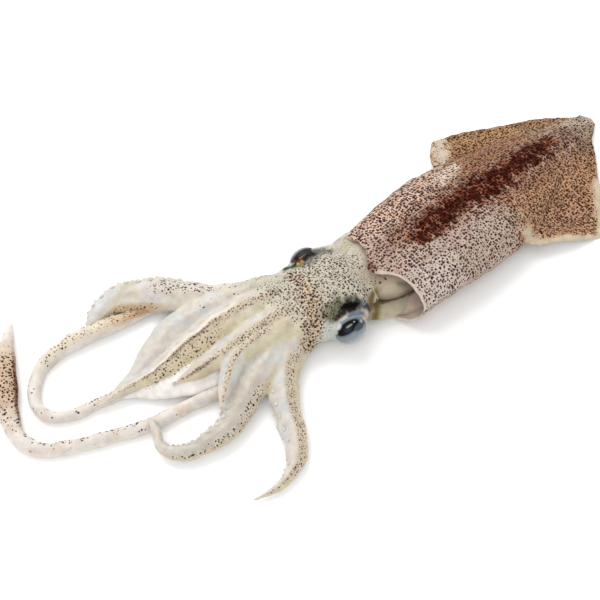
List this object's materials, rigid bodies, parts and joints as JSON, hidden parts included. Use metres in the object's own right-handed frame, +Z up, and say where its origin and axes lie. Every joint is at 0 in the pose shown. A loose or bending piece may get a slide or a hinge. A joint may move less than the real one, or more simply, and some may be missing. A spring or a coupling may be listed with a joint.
{
  "type": "whole raw squid",
  "caption": "Whole raw squid lying belly down: hollow-fronted mantle with a fin on each side, head, arms and long tentacles splayed over the surface.",
  "frame": {"origin": "under the middle of the bounding box, on the surface that the squid lies on", "axes": "+X along the mantle to the tail, +Y to the animal's right, +Z up"},
  "size_m": [0.312, 0.151, 0.0238],
  "materials": {
    "skin": "wet translucent skin with brown pigment spots",
    "eye": "glossy, silver round a navy pupil"
  },
  "bodies": {
    "root": {"squid": "skin", "eye_left": "eye", "eye_right": "eye"}
  },
  "joints": []
}
